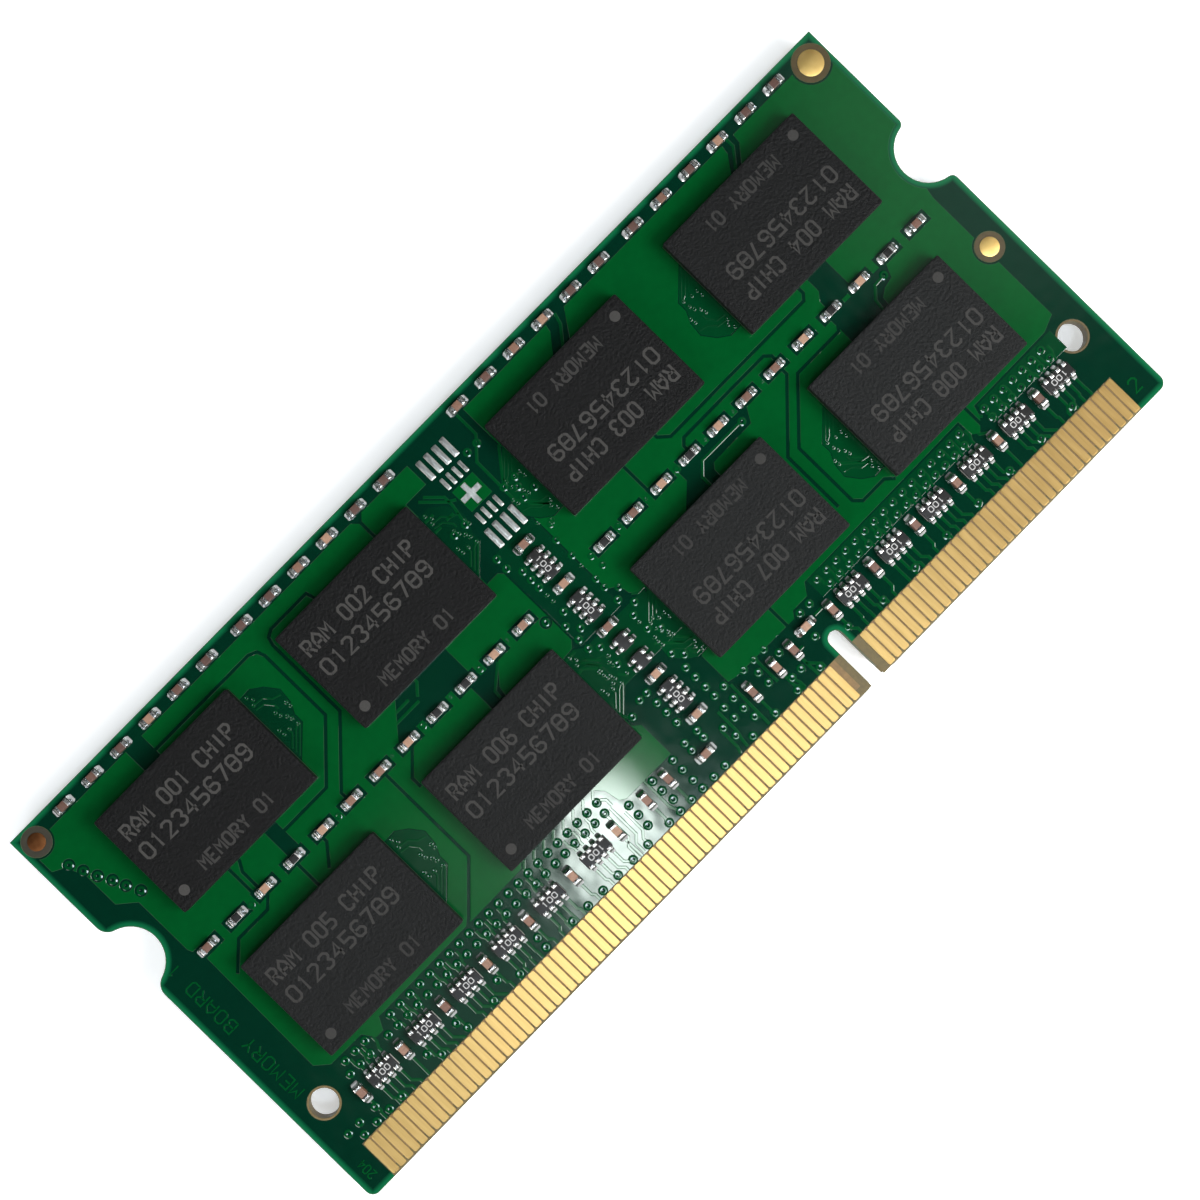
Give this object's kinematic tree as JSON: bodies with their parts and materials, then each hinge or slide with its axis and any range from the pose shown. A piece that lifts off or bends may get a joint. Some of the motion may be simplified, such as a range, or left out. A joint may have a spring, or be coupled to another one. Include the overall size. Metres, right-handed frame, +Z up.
{
  "type": "laptop memory module",
  "caption": "Flat green memory module with black chips on both sides, rows of small parts, and a notched edge of gold contacts.",
  "frame": {"origin": "under the centre of the module, in the plane of the lower chips' faces", "axes": "+X along the module towards contact 1 and 2, +Y from the contact edge towards the free long edge, +Z up out of the marked side"},
  "size_m": [0.0676, 0.03, 0.0032],
  "materials": {
    "solder_mask_board": "glossy green solder mask over glass-epoxy laminate",
    "gold_contacts": "satin gold plating on copper",
    "mould_compound": "fine-grained charcoal moulding compound",
    "chip_laminate": "cut edge of thin green laminate",
    "silicon": "polished silicon",
    "chip_capacitors": "dull tan to dark brown ceramic",
    "resistor_arrays": "black glaze on white ceramic",
    "solder": "bright tin solder",
    "bare_laminate": "bare yellow-brown glass-epoxy"
  },
  "bodies": {
    "root": {"circuit_board": "solder_mask_board", "contacts_front_left": "gold_contacts", "contacts_front_right": "gold_contacts", "contacts_back_left": "gold_contacts", "contacts_back_right": "gold_contacts", "chip_mould_front_1": "mould_compound", "chip_substrate_front_1": "chip_laminate", "silicon_die_front_1": "silicon", "chip_mould_front_2": "mould_compound", "chip_substrate_front_2": "chip_laminate", "silicon_die_front_2": "silicon", "chip_mould_front_3": "mould_compound", "chip_substrate_front_3": "chip_laminate", "silicon_die_front_3": "silicon", "chip_mould_front_4": "mould_compound", "chip_substrate_front_4": "chip_laminate", "silicon_die_front_4": "silicon", "chip_mould_front_5": "mould_compound", "chip_substrate_front_5": "chip_laminate", "silicon_die_front_5": "silicon", "chip_mould_front_6": "mould_compound", "chip_substrate_front_6": "chip_laminate", "silicon_die_front_6": "silicon", "chip_mould_front_7": "mould_compound", "chip_substrate_front_7": "chip_laminate", "silicon_die_front_7": "silicon", "chip_mould_front_8": "mould_compound", "chip_substrate_front_8": "chip_laminate", "silicon_die_front_8": "silicon", "chip_mould_back_1": "mould_compound", "chip_substrate_back_1": "chip_laminate", "silicon_die_back_1": "silicon", "chip_mould_back_2": "mould_compound", "chip_substrate_back_2": "chip_laminate", "silicon_die_back_2": "silicon", "chip_mould_back_3": "mould_compound", "chip_substrate_back_3": "chip_laminate", "silicon_die_back_3": "silicon", "chip_mould_back_4": "mould_compound", "chip_substrate_back_4": "chip_laminate", "silicon_die_back_4": "silicon", "chip_mould_back_5": "mould_compound", "chip_substrate_back_5": "chip_laminate", "silicon_die_back_5": "silicon", "chip_mould_back_6": "mould_compound", "chip_substrate_back_6": "chip_laminate", "silicon_die_back_6": "silicon", "chip_mould_back_7": "mould_compound", "chip_substrate_back_7": "chip_laminate", "silicon_die_back_7": "silicon", "chip_mould_back_8": "mould_compound", "chip_substrate_back_8": "chip_laminate", "silicon_die_back_8": "silicon", "eeprom_back": "mould_compound", "edge_capacitors_front": "chip_capacitors", "middle_passives_front": "chip_capacitors", "lower_resistor_arrays_front": "resistor_arrays", "edge_capacitors_back": "chip_capacitors", "middle_passives_back": "chip_capacitors", "lower_resistor_arrays_back": "resistor_arrays"}
  },
  "joints": []
}
